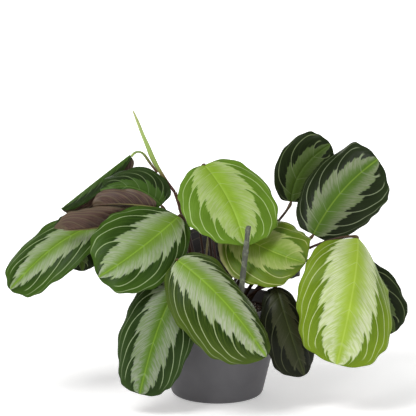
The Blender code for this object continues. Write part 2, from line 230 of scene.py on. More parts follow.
def moulded_polypropylene():
    """Matt moulded plastic: a fine even grain breaks its gloss, and handling leaves faint cloudy rubs."""
    material, tree, shader = new_material("spark-eroded moulded polypropylene", 0.62, 1.49)
    where = add_node(tree, "ShaderNodeTexCoord").outputs["Object"]
    # the real grain is about 0.3 mm, drawn at 0.9 mm so that it shows
    grain = add_node(tree, "ShaderNodeTexNoise", {"Vector": where, "Scale": 1100.0, "Detail": 2.0})
    rubs = add_node(tree, "ShaderNodeTexNoise", {"Vector": where, "Scale": 22.0, "Detail": 4.0,
                                                 "Distortion": 0.6})
    dust = add_node(tree, "ShaderNodeMapRange", {"Value": rubs.outputs["Fac"], "From Min": 0.35,
                                                 "From Max": 0.75})
    tone = add_node(tree, "ShaderNodeMix", {0: dust.outputs["Result"], 6: linear("525154"),
                                            7: linear("605f62")}, data_type="RGBA")
    tree.links.new(tone.outputs[2], shader.inputs["Base Color"])
    rough = add_node(tree, "ShaderNodeMapRange", {"Value": rubs.outputs["Fac"], "To Min": 0.55,
                                                  "To Max": 0.72})
    tree.links.new(rough.outputs["Result"], shader.inputs["Roughness"])
    bump = add_node(tree, "ShaderNodeBump", {"Height": grain.outputs["Fac"], "Strength": 0.25,
                                             "Distance": 0.15 * MM})
    tree.links.new(bump.outputs["Normal"], shader.inputs["Normal"])
    return material


wall_slope = (POT_TOP_RADIUS - POT_FOOT_RADIUS) / POT_HEIGHT
wall_lean = math.degrees(math.atan(wall_slope))
foot_edge = POT_FOOT_RADIUS + wall_slope * FOOT_ROUND - FOOT_ROUND * math.hypot(1, wall_slope)
rim_foot = POT_HEIGHT - RIM_DEPTH
inside_foot = POT_FOOT_RADIUS + wall_slope * 2 * POT_WALL - 2 * POT_WALL
inside_top = POT_TOP_RADIUS - POT_WALL
pot_profile = [(foot_edge * 0.5, 0)]
pot_profile += rounded((foot_edge, FOOT_ROUND), FOOT_ROUND, -90, -wall_lean, 8)
pot_profile += [(POT_FOOT_RADIUS + wall_slope * z, z) for z in (12, 30, 50, 70, rim_foot - 1)]
pot_profile += rounded((POT_FOOT_RADIUS + wall_slope * rim_foot + STEP_ROUND, rim_foot - 0.6), STEP_ROUND,
                       180, 90, 3)
pot_profile += rounded((RIM_OUTSIDE - RIM_FOOT_ROUND, rim_foot + 1.6), RIM_FOOT_ROUND, -80, 0, 4)
pot_profile += rounded((RIM_OUTSIDE - RIM_TOP_ROUND, POT_HEIGHT - RIM_TOP_ROUND), RIM_TOP_ROUND, 0, 90, 5)
pot_profile += rounded((inside_top + LIP_ROUND, POT_HEIGHT - LIP_ROUND), LIP_ROUND, 90, 180, 4)
pot_profile += [(inside_foot + (inside_top - inside_foot) * z / POT_HEIGHT, z) for z in (60, 30, 6)]
pot_profile += [(inside_foot - 1.5, POT_WALL), (inside_foot * 0.5, POT_WALL)]
pot = turned(pot_profile, POT_SEGMENTS)

punches = []
for i in range(DRAIN_COUNT):
    angle = 2 * math.pi * (i + 0.5) / DRAIN_COUNT
    bpy.ops.mesh.primitive_cylinder_add(
        vertices=32, radius=DRAIN_RADIUS * MM, depth=4 * POT_WALL * MM,
        location=(DRAIN_CIRCLE * MM * math.cos(angle), DRAIN_CIRCLE * MM * math.sin(angle), 0))
    punches.append(bpy.context.object)
for punch in punches:
    punch.select_set(True)
bpy.ops.object.join()
punch = bpy.context.object
bpy.ops.object.select_all(action="DESELECT")
bpy.context.view_layer.objects.active = pot
pot.select_set(True)
holes = pot.modifiers.new("drain holes", "BOOLEAN")
holes.object = punch
bpy.ops.object.modifier_apply(modifier=holes.name)
bpy.data.objects.remove(punch)
bpy.ops.object.shade_smooth_by_angle(angle=math.radians(35))
pot.data.materials.append(moulded_polypropylene())
finish_piece(pot, "grow_pot", "pot", "pot")


# --------------------------------------------------------------------------------------------------
# Potting mix: damp peat and coir with bark chips and a little perlite, filled to just under the rim
# and left uneven by watering
# --------------------------------------------------------------------------------------------------

MIX_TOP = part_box("potting_mix")[1].z / MM
MIX_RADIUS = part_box("potting_mix")[1].x / MM
MIX_RINGS = 26
MIX_SEGMENTS = 144
MIX_ROUGH = 2.2  # greatest height of its crumbs
CHIP_COUNT = 330
CHIP_SIZE = 2.3
PERLITE_COUNT = 70
PERLITE_SIZE = 1.1


def damp_peat():
    """Damp peat: dark crumbs that swallow light, with paler fibres and a wet glint here and there."""
    material, tree, shader = new_material("damp peat and coir", 0.9)
    where = add_node(tree, "ShaderNodeTexCoord").outputs["Object"]
    crumbs = add_node(tree, "ShaderNodeTexNoise", {"Vector": where, "Scale": 420.0, "Detail": 6.0,
                                                   "Roughness": 0.7})
    cells = add_node(tree, "ShaderNodeTexVoronoi", {"Vector": where, "Scale": 650.0})
    tone = add_node(tree, "ShaderNodeValToRGB", {"Fac": crumbs.outputs["Fac"]})
    ramp = tone.color_ramp
    ramp.elements[0].position, ramp.elements[0].color = 0.35, linear("17100b")
    ramp.elements[1].position, ramp.elements[1].color = 0.72, linear("4d3a2a")
    tree.links.new(tone.outputs["Color"], shader.inputs["Base Color"])
    rough = add_node(tree, "ShaderNodeMapRange", {"Value": crumbs.outputs["Fac"], "To Min": 0.98,
                                                  "To Max": 0.7})
    tree.links.new(rough.outputs["Result"], shader.inputs["Roughness"])
    bump = add_node(tree, "ShaderNodeBump", {"Height": cells.outputs["Distance"], "Strength": 0.8,
                                             "Distance": 0.8 * MM})
    tree.links.new(bump.outputs["Normal"], shader.inputs["Normal"])
    return material


def broken_bits(name, light_hex, dark_hex, roughness):
    """Broken bark or perlite: each bit has its own tone, with a split, matt surface."""
    material, tree, shader = new_material(name, roughness)
    where = add_node(tree, "ShaderNodeTexCoord").outputs["Object"]
    bits = add_node(tree, "ShaderNodeTexVoronoi", {"Vector": where, "Scale": 160.0})
    fibre = add_node(tree, "ShaderNodeTexNoise", {"Vector": where, "Scale": 900.0, "Detail": 3.0})
    blend = add_node(tree, "ShaderNodeMath", {0: bits.outputs["Color"], 1: fibre.outputs["Fac"]},
                     operation="MULTIPLY")
    tone = add_node(tree, "ShaderNodeMix", {0: blend.outputs[0], 6: linear(dark_hex), 7: linear(light_hex)},
                    data_type="RGBA")
    tree.links.new(tone.outputs[2], shader.inputs["Base Color"])
    bump = add_node(tree, "ShaderNodeBump", {"Height": fibre.outputs["Fac"], "Strength": 0.6,
                                             "Distance": 0.4 * MM})
    tree.links.new(bump.outputs["Normal"], shader.inputs["Normal"])
    return material


def mix_height(x, y):
    """Height of the mix's crumbly surface at a place in mm."""
    broad = noise.noise(Vector((x / 26, y / 26, 3.1)))
    fine = noise.fractal(Vector((x / 5, y / 5, 7.7)), 0.8, 2.1, 4)
    return MIX_TOP - 0.5 + 0.7 * broad + MIX_ROUGH * 0.45 * min(max(fine, -1.0), 1.0)


def scattered(usual_size, count, seed, squash, raised):
    """Many small broken bits lying on the mix, each squashed and raised a little, in one mesh."""
    draw = random.Random(seed)
    form = bmesh.new()
    for _ in range(count):
        reach = (MIX_RADIUS - 4) * math.sqrt(draw.random())
        turn = draw.uniform(0, 2 * math.pi)
        x, y = reach * math.cos(turn), reach * math.sin(turn)
        size = usual_size * draw.uniform(0.5, 1.35)
        made = bmesh.ops.create_icosphere(form, subdivisions=1, radius=size * MM)
        bmesh.ops.scale(form, verts=made["verts"], vec=(1, draw.uniform(0.45, 0.8), squash))
        for corner in made["verts"]:
            corner.co *= draw.uniform(0.75, 1.2)
        spin = Vector((draw.gauss(0, 1), draw.gauss(0, 1), 3)).to_track_quat("Z", "Y").to_matrix()
        bmesh.ops.rotate(form, verts=made["verts"], cent=(0, 0, 0), matrix=spin)
        bmesh.ops.translate(form, verts=made["verts"], vec=Vector((x, y, mix_height(x, y) + raised)) * MM)
    mesh = bpy.data.meshes.new("bits")
    form.to_mesh(mesh)
    form.free()
    bits = bpy.data.objects.new("bits", mesh)
    bpy.context.scene.collection.objects.link(bits)
    return bits


mix_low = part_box("potting_mix")[0].z / MM
mix_foot = inside_foot - 1.0
mix_profile = [(mix_foot, mix_low), (MIX_RADIUS - 0.3, MIX_TOP - 3)]
mix_profile += [(MIX_RADIUS * (1 - i / MIX_RINGS), MIX_TOP) for i in range(1, MIX_RINGS)]
mix = turned(mix_profile, MIX_SEGMENTS)
for corner in mix.data.vertices:
    if corner.co.z > (MIX_TOP - 1) * MM:
        corner.co.z = mix_height(corner.co.x / MM, corner.co.y / MM) * MM
bpy.ops.object.shade_smooth()
mix.data.materials.append(damp_peat())
finish_piece(mix, "peat_mix", "potting_mix", "potting_mix")

chips = scattered(CHIP_SIZE, CHIP_COUNT, 4, 0.35, 0.2)
chips.data.materials.append(broken_bits("broken pine bark", "6b4a30", "1d130c", 0.85))
finish_piece(chips, "bark_chips", "potting_mix")
perlite = scattered(PERLITE_SIZE, PERLITE_COUNT, 9, 0.8, 0.3)
perlite.data.materials.append(broken_bits("expanded perlite", "e9e6dc", "b5b0a2", 0.9))
finish_piece(perlite, "perlite", "potting_mix")


# --------------------------------------------------------------------------------------------------
# Stake: a short length of split cane, flat where it was split and round behind, pushed into the mix
# by hand. It has weathered grey-green, and its cut top has frayed
# --------------------------------------------------------------------------------------------------

STAKE_FOOT = np.array([19.0, -49.2, 82.3])
STAKE_TOP = np.array([28.5, -50.4, 173.0])
STAKE_WIDTH = (6.0, 4.6)
STAKE_THICKNESS = 3.2
STAKE_KNOT = 0.72  # share of its height
STAKE_KNOT_OUT = 0.8  # how far the knot stands out
STAKE_FRAY = 2.2  # how deep the cut top has frayed
STAKE_CAP = 0.01  # share of its length taken by each closed end


def wrapped(rows, columns, place, uv=None):
    """A grid of rows by columns, its points put in place by a function of two shares, then welded shut.

    The first share runs along the rows and the second round the columns. uv gives each point its own map
    values, by the name of the map.
    """
    bpy.ops.object.select_all(action="DESELECT")
    bpy.ops.mesh.primitive_grid_add(x_subdivisions=rows, y_subdivisions=columns, size=2)
    piece = bpy.context.object
    count = len(piece.data.vertices)
    flat = np.empty(count * 3)
    piece.data.vertices.foreach_get("co", flat)
    flat = flat.reshape(-1, 3)
    along = np.clip((flat[:, 0] + 1) / 2, 0, 1)
    round_it = np.clip((flat[:, 1] + 1) / 2, 0, 1)
    piece.data.vertices.foreach_set("co", (place(along, round_it) * MM).ravel())
    corners = np.empty(len(piece.data.loops), int)
    piece.data.loops.foreach_get("vertex_index", corners)
    while piece.data.uv_layers:
        piece.data.uv_layers.remove(piece.data.uv_layers[0])
    for name, values in (uv(along, round_it) if uv else {}).items():
        layer = piece.data.uv_layers.new(name=name)
        layer.data.foreach_set("uv", values[corners].astype(np.float32).ravel())
    bpy.ops.object.mode_set(mode="EDIT")
    bpy.ops.mesh.select_all(action="SELECT")
    bpy.ops.mesh.remove_doubles(threshold=0.004 * MM)
    bpy.ops.mesh.normals_make_consistent(inside=False)
    bpy.ops.object.mode_set(mode="OBJECT")
    bpy.ops.object.shade_smooth()
    return piece


def weathered_cane():
    """Weathered cane: grey-green, with dark lengthwise fibres and pale scuffs."""
    material, tree, shader = new_material("weathered split cane", 0.8)
    where = add_node(tree, "ShaderNodeTexCoord").outputs["Object"]
    drawn = add_node(tree, "ShaderNodeMapping", {"Vector": where, "Scale": (1.0, 1.0, 0.12)})
    fibre = add_node(tree, "ShaderNodeTexNoise", {"Vector": drawn.outputs["Vector"], "Scale": 900.0,
                                                  "Detail": 4.0})
    scuffs = add_node(tree, "ShaderNodeTexNoise", {"Vector": where, "Scale": 260.0, "Detail": 5.0})
    tone = add_node(tree, "ShaderNodeMix", {0: fibre.outputs["Fac"], 6: linear("33352f"),
                                            7: linear("74776a")}, data_type="RGBA")
    worn = add_node(tree, "ShaderNodeMapRange", {"Value": scuffs.outputs["Fac"], "From Min": 0.52,
                                                 "From Max": 0.7})
    skin = add_node(tree, "ShaderNodeMix", {0: worn.outputs["Result"], 6: tone.outputs[2],
                                            7: linear("868b78")}, data_type="RGBA")
    tree.links.new(skin.outputs[2], shader.inputs["Base Color"])
    bump = add_node(tree, "ShaderNodeBump", {"Height": fibre.outputs["Fac"], "Strength": 0.7,
                                             "Distance": 0.4 * MM})
    tree.links.new(bump.outputs["Normal"], shader.inputs["Normal"])
    return material


def stake_skin(along, round_it):
    """Points of the stake's surface: split face, rounded back, knot, worn edges and frayed top."""
    height = np.clip((along - STAKE_CAP) / (1 - 2 * STAKE_CAP), 0, 1)
    half = 0.5 * (STAKE_WIDTH[0] + (STAKE_WIDTH[1] - STAKE_WIDTH[0]) * height)
    half = half + STAKE_KNOT_OUT * np.exp(-((height - STAKE_KNOT) / 0.025) ** 2)
    half = half * np.where((along < STAKE_CAP) | (along > 1 - STAKE_CAP), 0.0, 1.0)
    turn = 2 * np.pi * round_it
    split = np.minimum(-np.sin(turn), 0.25 + 0.08 * np.sin(37 * height) * np.cos(turn * 3))
    worn = 1 + 0.07 * np.sin(height * 41 + turn * 2) + 0.05 * np.sin(height * 97 + turn * 5)
    side = half * np.cos(turn) * worn
    depth = STAKE_THICKNESS * half / half.max() * -split * worn
    frayed = STAKE_FRAY * np.sin(turn * 3 + 1) * np.clip((height - 0.97) / 0.03, 0, 1)
    centre = STAKE_FOOT + (STAKE_TOP - STAKE_FOOT) * height[:, None]
    centre[:, 2] -= np.abs(frayed) * (half > 0)
    return centre + np.stack([side, -depth - 0.4, np.zeros_like(side)], axis=1)


stake = wrapped(90, 28, stake_skin)
stake.data.materials.append(weathered_cane())
finish_piece(stake, "cane_stake", "stake", "stake")


# --------------------------------------------------------------------------------------------------
# Stem: the one shoot that has grown tall, a fleshy brown stem ringed with old sheath scars and rooted in
# the mix. The thin stalk of the arched leaf leaves the sheath of the rolled leaf that stands on its top
# --------------------------------------------------------------------------------------------------

# points along the middle of each, and the radius there
STEM = [
    ((-17, 3, 80), 3.2),
    ((-17, 3, 90), 3.2),
    ((-21, 2, 112), 3.2),
    ((-26, 1, 140), 2.9),
    ((-31, 2, 165), 2.7),
    ((-37, 5, 186), 2.0),
    ((-41, 7, 196.6), 1.7),
]
ARCHED_STALK = [
    ((-58.2, 13.2, 215), 1.0),
    ((-65.4, 12.2, 225), 1.4),
    ((-69.6, 13.5, 230.9), 1.4),
    ((-72.6, 16, 233.8), 1.2),
    ((-77, 22, 234.4), 1.1),
    ((-81, 27, 232.6), 1.3),
    ((-84, 28.1, 229.2), 1.2),
]
CAP_SHARE = 0.012  # share of a stem's length taken by each rounded end
OLD_SHEATHS = (0.12, 0.3, 0.52, 0.7, 0.86)  # shares of the stem's length
SCAR_OUT = 0.16  # how far their scars stand out, as a share of the radius


def smooth_run(stations, per_span=12):
    """A smooth curve through the stations, each a point and the radius there: its points, and its radii."""
    rows = [np.array([*point, radius], float) for point, radius in stations]
    rows = [2 * rows[0] - rows[1], *rows, 2 * rows[-1] - rows[-2]]
    run = []
    for before, start, end, after in zip(rows, rows[1:], rows[2:], rows[3:]):
        for i in range(per_span):
            t = i / per_span
            run.append(0.5 * (2 * start + (end - before) * t
                              + (2 * before - 5 * start + 4 * end - after) * t ** 2
                              + (3 * start - before - 3 * end + after) * t ** 3))
    run = np.array(run + [rows[-2]])
    return run[:, :3], run[:, 3]


def stem_tube(points, radii, shape=None, sides=14, rows=120):
    """A round stem along the points, closed at both ends.

    shape changes the radius by share of length and turn. The map "run" holds those two as well.
    """
    so_far = np.concatenate([[0], np.cumsum(np.linalg.norm(np.diff(points, axis=0), axis=1))])
    length = so_far[-1]
    tangents = np.gradient(points, so_far, axis=0)

    def place(along, round_it):
        share = np.clip((along - CAP_SHARE) / (1 - 2 * CAP_SHARE), 0, 1)
        at = share * length
        centre = np.stack([np.interp(at, so_far, points[:, k]) for k in range(3)], axis=1)
        tangent = np.stack([np.interp(at, so_far, tangents[:, k]) for k in range(3)], axis=1)
        tangent /= np.linalg.norm(tangent, axis=1, keepdims=True)
        radius = np.interp(at, so_far, radii)
        side = np.cross(tangent, (0.11, 1.0, 0.07))
        side /= np.linalg.norm(side, axis=1, keepdims=True)
        other = np.cross(tangent, side)
        near_end = np.minimum(along, 1 - along) / CAP_SHARE
        dome = np.sqrt(np.clip(1 - (1 - np.clip(near_end, 0, 1)) ** 2, 0, 1))
        radius = radius * dome * (shape(share, round_it) if shape else 1)
        turn = 2 * np.pi * round_it
        return centre + (side * np.cos(turn)[:, None] + other * np.sin(turn)[:, None]) * radius[:, None]

    def run_map(along, round_it):
        return {"run": np.stack([along, round_it], axis=1)}

    return wrapped(rows, sides, place, run_map)


def fleshy_skin(name, low_hex, high_hex, joint_hex, roughness):
    """Living stem skin: satin, streaked lengthwise, changing colour from its foot to its swollen joint."""
    material, tree, shader = new_material(name, roughness, 1.42)
    run = add_node(tree, "ShaderNodeUVMap", uv_map="run").outputs["UV"]
    parts = add_node(tree, "ShaderNodeSeparateXYZ", {0: run})
    where = add_node(tree, "ShaderNodeTexCoord").outputs["Object"]
    streaky = add_node(tree, "ShaderNodeMapping", {"Vector": run, "Scale": (3.0, 9.0, 1.0)})
    streaks = add_node(tree, "ShaderNodeTexNoise", {"Vector": streaky.outputs["Vector"], "Scale": 6.0,
                                                    "Detail": 3.0})
    specks = add_node(tree, "ShaderNodeTexNoise", {"Vector": where, "Scale": 500.0, "Detail": 2.0})
    rising = add_node(tree, "ShaderNodeMapRange", {"Value": parts.outputs["X"], "From Min": 0.1,
                                                   "From Max": 0.7})
    tone = add_node(tree, "ShaderNodeMix", {0: rising.outputs["Result"], 6: linear(low_hex),
                                            7: linear(high_hex)}, data_type="RGBA")
    to_joint = add_node(tree, "ShaderNodeMapRange", {"Value": parts.outputs["X"], "From Min": 0.82,
                                                     "From Max": 0.95})
    jointed = add_node(tree, "ShaderNodeMix", {0: to_joint.outputs["Result"], 6: tone.outputs[2],
                                               7: linear(joint_hex)}, data_type="RGBA")
    dark = add_node(tree, "ShaderNodeMapRange", {"Value": streaks.outputs["Fac"], "From Min": 0.35,
                                                 "From Max": 0.7, "To Min": 1.0, "To Max": 0.62})
    shaded = add_node(tree, "ShaderNodeMix", {0: 1.0, 6: jointed.outputs[2], 7: dark.outputs["Result"]},
                      data_type="RGBA", blend_type="MULTIPLY")
    tree.links.new(shaded.outputs[2], shader.inputs["Base Color"])
    bump = add_node(tree, "ShaderNodeBump", {"Height": specks.outputs["Fac"], "Strength": 0.3,
                                             "Distance": 0.15 * MM})
    tree.links.new(bump.outputs["Normal"], shader.inputs["Normal"])
    return material


def scarred(share, turn):
    """Rings where old sheaths came away."""
    rings = sum(np.exp(-((share - s) / 0.006) ** 2) for s in OLD_SHEATHS)
    return 1 + SCAR_OUT * rings + 0.03 * np.sin(2 * np.pi * turn * 3 + 9 * share)


stem_skin = fleshy_skin("brown sheathed stem", "3a2619", "553823", "5b3a22", 0.5)
stem = stem_tube(*smooth_run(STEM), shape=scarred)
stem.data.materials.append(stem_skin)
finish_piece(stem, "tall_stem", "stem", "stem")

petiole_skin = fleshy_skin("red-brown leaf stalk", "3a3018", "41251a", "58431f", 0.42)
arched_petiole = stem_tube(*smooth_run(ARCHED_STALK), sides=10, rows=60)
arched_petiole.data.materials.append(fleshy_skin("green leaf stalk", "5b3a26", "7f9a45", "a3bd5c", 0.42))
finish_piece(arched_petiole, "petiole_arched", "leaf_stalk", "stalk_arched")


# --------------------------------------------------------------------------------------------------
# Rolled leaf: the newest leaf, still wound into a thin spike round its own midrib, pale lime above
# and red-brown where it leaves the stem
# --------------------------------------------------------------------------------------------------

ROLLED_LEAF = [
    ((-41.2, 7.2, 196.9), 1.5),
    ((-48.5, 11.5, 206), 1.5),
    ((-54.6, 15, 214.5), 1.9),
    ((-59.4, 15, 222.3), 2.2),
    ((-63.7, 14, 231.2), 2.3),
    ((-67, 13, 240), 2.1),
    ((-71.7, 12, 251.7), 1.8),
    ((-76.3, 10.5, 264), 1.5),
    ((-80.8, 9.5, 275), 0.7),
]
ROLL_TWIST = 0.55  # turns that its free edge makes on the way up
ROLL_EDGE = 0.24  # how far that edge stands out, as a share of the radius
SHEATH_END = 0.3  # share of its length that is still in its sheath


def wound(share, turn):
    """The free edge of the roll stands a little proud, along a line that winds slowly round it."""
    round_it = (turn + ROLL_TWIST * share + 0.1) % 1.0
    out_of_sheath = np.clip((share - SHEATH_END) / 0.1, 0, 1)
    edge = np.where(round_it < 0.9, round_it / 0.9, (1 - round_it) * 10)
    return 1 + out_of_sheath * (ROLL_EDGE * edge - 0.1)


def rolled_skin():
    """The roll's outer skin: lime, with fine raised veins along it, its foot still in a red-brown sheath."""
    material, tree, shader = new_material("young rolled leaf", 0.4, 1.42)
    run = add_node(tree, "ShaderNodeUVMap", uv_map="run").outputs["UV"]
    parts = add_node(tree, "ShaderNodeSeparateXYZ", {0: run})
    lines = add_node(tree, "ShaderNodeTexWave", {"Vector": run, "Scale": 2.2, "Distortion": 0.6},
                     bands_direction="Y")
    tone = add_node(tree, "ShaderNodeValToRGB", {"Fac": parts.outputs["X"]})
    ramp = tone.color_ramp
    ramp.elements[0].position, ramp.elements[0].color = 0.0, linear("4f2c20")
    ramp.elements[1].position, ramp.elements[1].color = 1.0, linear("b3b878")
    for share, colour in ((0.17, "5b2f22"), (0.27, "837e42"), (0.36, "97b054"), (0.7, "a3bb66")):
        ramp.elements.new(share).color = linear(colour)
    veined = add_node(tree, "ShaderNodeMapRange", {"Value": lines.outputs["Fac"], "To Min": 0.82,
                                                   "To Max": 1.05})
    skin = add_node(tree, "ShaderNodeMix", {0: 1.0, 6: tone.outputs["Color"], 7: veined.outputs["Result"]},
                    data_type="RGBA", blend_type="MULTIPLY")
    tree.links.new(skin.outputs[2], shader.inputs["Base Color"])
    bump = add_node(tree, "ShaderNodeBump", {"Height": lines.outputs["Fac"], "Strength": 0.4,
                                             "Distance": 0.2 * MM})
    tree.links.new(bump.outputs["Normal"], shader.inputs["Normal"])
    return material


rolled = stem_tube(*smooth_run(ROLLED_LEAF), shape=wound, sides=40, rows=140)
rolled.data.materials.append(rolled_skin())
finish_piece(rolled, "rolled_shoot", "rolled_leaf", "rolled_leaf")


# --------------------------------------------------------------------------------------------------
# Leaves: broad thin blades. From a sunk midrib the side veins curve out and forward to the margin, the
# skin domed between them. A feathered silver band follows the midrib, and the backs are purple-brown. A
# stalk from the mix carries each blade and turns into line with its midrib
# --------------------------------------------------------------------------------------------------

# Base, middle and tip of the midrib, greatest width, and the way that it faces (degrees right of the front,
# then above level). For its left and right half, seen from the stalk, in degrees, plus towards the face: fold
# at the base, fold at the tip, and curl by the margin. Then how much wider it is towards its tip, the length
# over which its stalk turns into line with it, the breadth of its left and right half as shares of half the
# width, where the stalk leaves the mix, and how blunt its outline is by the stalk and by the tip: 1 is an
# ellipse, and less is squarer.
Leaf = namedtuple("Leaf", "look base middle tip width facing fold fold_tip curl skew entry halves foot blunt",
                  defaults=((8, 8), None, (-25, -25), 0.14, 14.0, (1, 1), None, (0.86, 0.64)))

LEAVES = {
    "top_centre": Leaf("young", (-12, 8, 223), (11, -18, 192), (25, -42, 155), 100, (20, 50),
                       curl=(-15, -25), skew=0.0, halves=(0.93, 1), foot=(-2, 10)),
    "centre_right": Leaf("golden", (12, -6, 163), (46, -25, 147), (80, -43, 137), 86, (30, 25),
                         curl=(-35, -29), skew=0.0, foot=(12, -8)),
    "right_front": Leaf("lime", (131, -44, 160), (123, -84, 121), (109, -88, 53), 98, (-15, 30),
                        fold=(-60, 8), fold_tip=(-12, 8), curl=(-30, -10), skew=0.0, entry=14,
                        foot=(25, -8), blunt=(0.55, 0.45)),
    "front": Leaf("olive", (-37, -65, 143), (5, -94, 111), (42, -101, 63), 91, (-20, 30),
                  fold=(-20, 8), fold_tip=(-50, 8), curl=(-60, -15), skew=0.0, entry=9, foot=(0, -36)),
    "left_front": Leaf("green", (-37, -25, 178), (-70, -58, 154), (-107, -74, 130), 88, (-10, 45),
                       fold=(-22, 9), fold_tip=(-2, 18), curl=(-38, 0), skew=0.06, halves=(0.87, 1),
                       foot=(-14, -10)),
    "lower_left": Leaf("silver", (-36, -60, 120), (-55, -83, 82), (-71, -84, 24), 72, (5, 15),
                       fold=(8, -12), curl=(-15, -30), skew=-0.12, entry=8, foot=(-19, -20),
                       blunt=(0.7, 0.36)),
    "far_left": Leaf("green", (-105, -2, 169), (-149, -25, 153), (-194, -35, 111), 66, (-20, 40),
                     halves=(1, 0.85), foot=(-27, 1)),
    "arched": Leaf("deep", (-85.6, 28, 230.7), (-115, 28, 208), (-151, 20, 180), 46, (0, 89),
                   fold=(-75, -85), fold_tip=(-50, -95), curl=(-5, 5), halves=(0.5, 1)),
    "folded": Leaf("deep", (-80, -16, 177), (-118, -32, 169), (-151, -42, 169), 42, (0, 80),
                   fold=(60, 70), curl=(40, 50), halves=(1, 0.85), foot=(-22, -8)),
    "upper_left": Leaf("deep", (-54, -7, 186), (-80, -6, 203), (-110, -5, 200), 54, (0, 25),
                       fold=(-10, 0), fold_tip=(-10, -30), curl=(-20, -20), skew=-0.2, halves=(0.6, 1),
                       foot=(-21, -3)),
    "turned": Leaf("deep", (-59, -14, 184), (-88, -17, 188), (-117, -17, 187), 33, (180, -20),
                   fold=(-30, 40), fold_tip=(-20, 40), curl=(60, 20), halves=(1, 0.5), foot=(-18, -15)),
    "left_behind": Leaf("dark", (-136, 0, 155), (-132, -4, 138), (-130, -6, 123), 32, (0, 10), foot=(-26, 7)),
    "small": Leaf("green", (-112, 3, 166), (-119, -3, 163), (-125, -5, 157), 12, (0, 30), foot=(-18, 16)),
    "top_right_back": Leaf("dark", (73, 34, 184), (84, 40, 215), (110, 38, 239), 54, (10, 10),
                           curl=(-35, -25), foot=(12, 14)),
    "top_right": Leaf("frosted", (92, -10, 158), (119, 2, 197), (153, 8, 227), 82, (20, 10),
                      fold=(-25, 4), curl=(-50, -10), foot=(20, 2), blunt=(0.86, 0.45)),
    "far_right": Leaf("dark", (140, -12, 130), (152, -24, 103), (168, -26, 68), 50, (10, 20), foot=(24, -1)),
    "lower_right": Leaf("painted_shade_dull", (55, -48, 114), (66, -68, 79), (80, -64, 36), 56, (20, 20),
                        fold=(8, -15), curl=(-25, -50), entry=7, halves=(0.72, 1), foot=(18, -19)),
    "back_left": Leaf("dark", (-50, 42, 160), (-74, 72, 146), (-94, 96, 106), 82, (200, 45), foot=(-14, 19)),
    "back_centre": Leaf("dark", (-18, 46, 186), (0, 82, 180), (12, 112, 150), 84, (175, 60), foot=(-9, 27)),
    "back_right": Leaf("dark", (46, 46, 142), (60, 76, 130), (67, 104, 94), 52, (150, 45), foot=(9, 20)),
    "back_low": Leaf("dark", (-6, 58, 150), (-10, 84, 130), (-12, 96, 82), 64, (180, 25), foot=(2, 25)),
}
LEAF_ROWS = 100
LEAF_COLUMNS = 44
LEAF_THICKNESS = 0.5
LEAF_GLOSS = 0.14
BEND_STEPS = 24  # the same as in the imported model
VEIN_SWEEP = 0.32  # how far round the margin each side vein is carried by the time it gets there
VEIN_SWEEP_LATE = 6  # how late on its way out that happens
VEIN_CROWDING = 2.4  # how much closer together the side veins leave the midrib by the stalk
HEART = 0.02  # how far the base reaches back beside the stalk, as a share of the length
DOME = 0.5  # how far the skin rises between two side veins
DOME_APART = 8.0  # side veins this far apart or more have a full dome between them
RELIEF_WIDTH = 60.0  # leaves narrower than this are less deeply veined and waved
RIB_GROOVE = 0.8
GROOVE_REACH = 1.1  # from the midrib's middle
MARGIN_WAVE = 1.1
WAVES = (2.6, 5.3)  # broad and fine, from the stalk to the tip
MARGIN_RAGGED = 0.016  # how much the outline swells and shrinks, as a share of the half width
RAGS = (3.4, 7.7)
TIP_REACH = 2.5  # the short point at the tip
KEEL_RADIUS = 1.5  # the midrib on the back, by the stalk
KEEL_END = 0.93  # share of the midrib's length that the keel follows
KEEL_WIDTH = 50.0  # leaves narrower than this have a thinner keel

# how far the silver band runs out along each side vein, widens towards the tip, and is broken up by streaks
# and by clouds, as shares of the half width
BAND_TEETH = 0.17
BAND_FLARE = 0.07
BAND_STREAKED = 0.2
BAND_CLOUDED = 0.08
ZONE_STREAKED = 0.35  # the same for the zone beside the midrib
STREAKS = 11.0  # between two side veins
VEIN_HALF_WIDTH = (0.12, 0.55)  # solid to the first, faded out at the second
LINE_HALF_WIDTH = (0.4, 1.1)

STALK_ROOTED = 1.5  # how far under the mix's surface each stalk starts
STALK_FOOT_RADIUS = 2.1
STALK_RADIUS = 1.3
STALK_JOINT_RADIUS = 1.8
STALK_JOINT_LENGTH = 9.0
STALK_END_LENGTH = 3.0  # over which it thins into the midrib
STALK_LEAN = 0.25

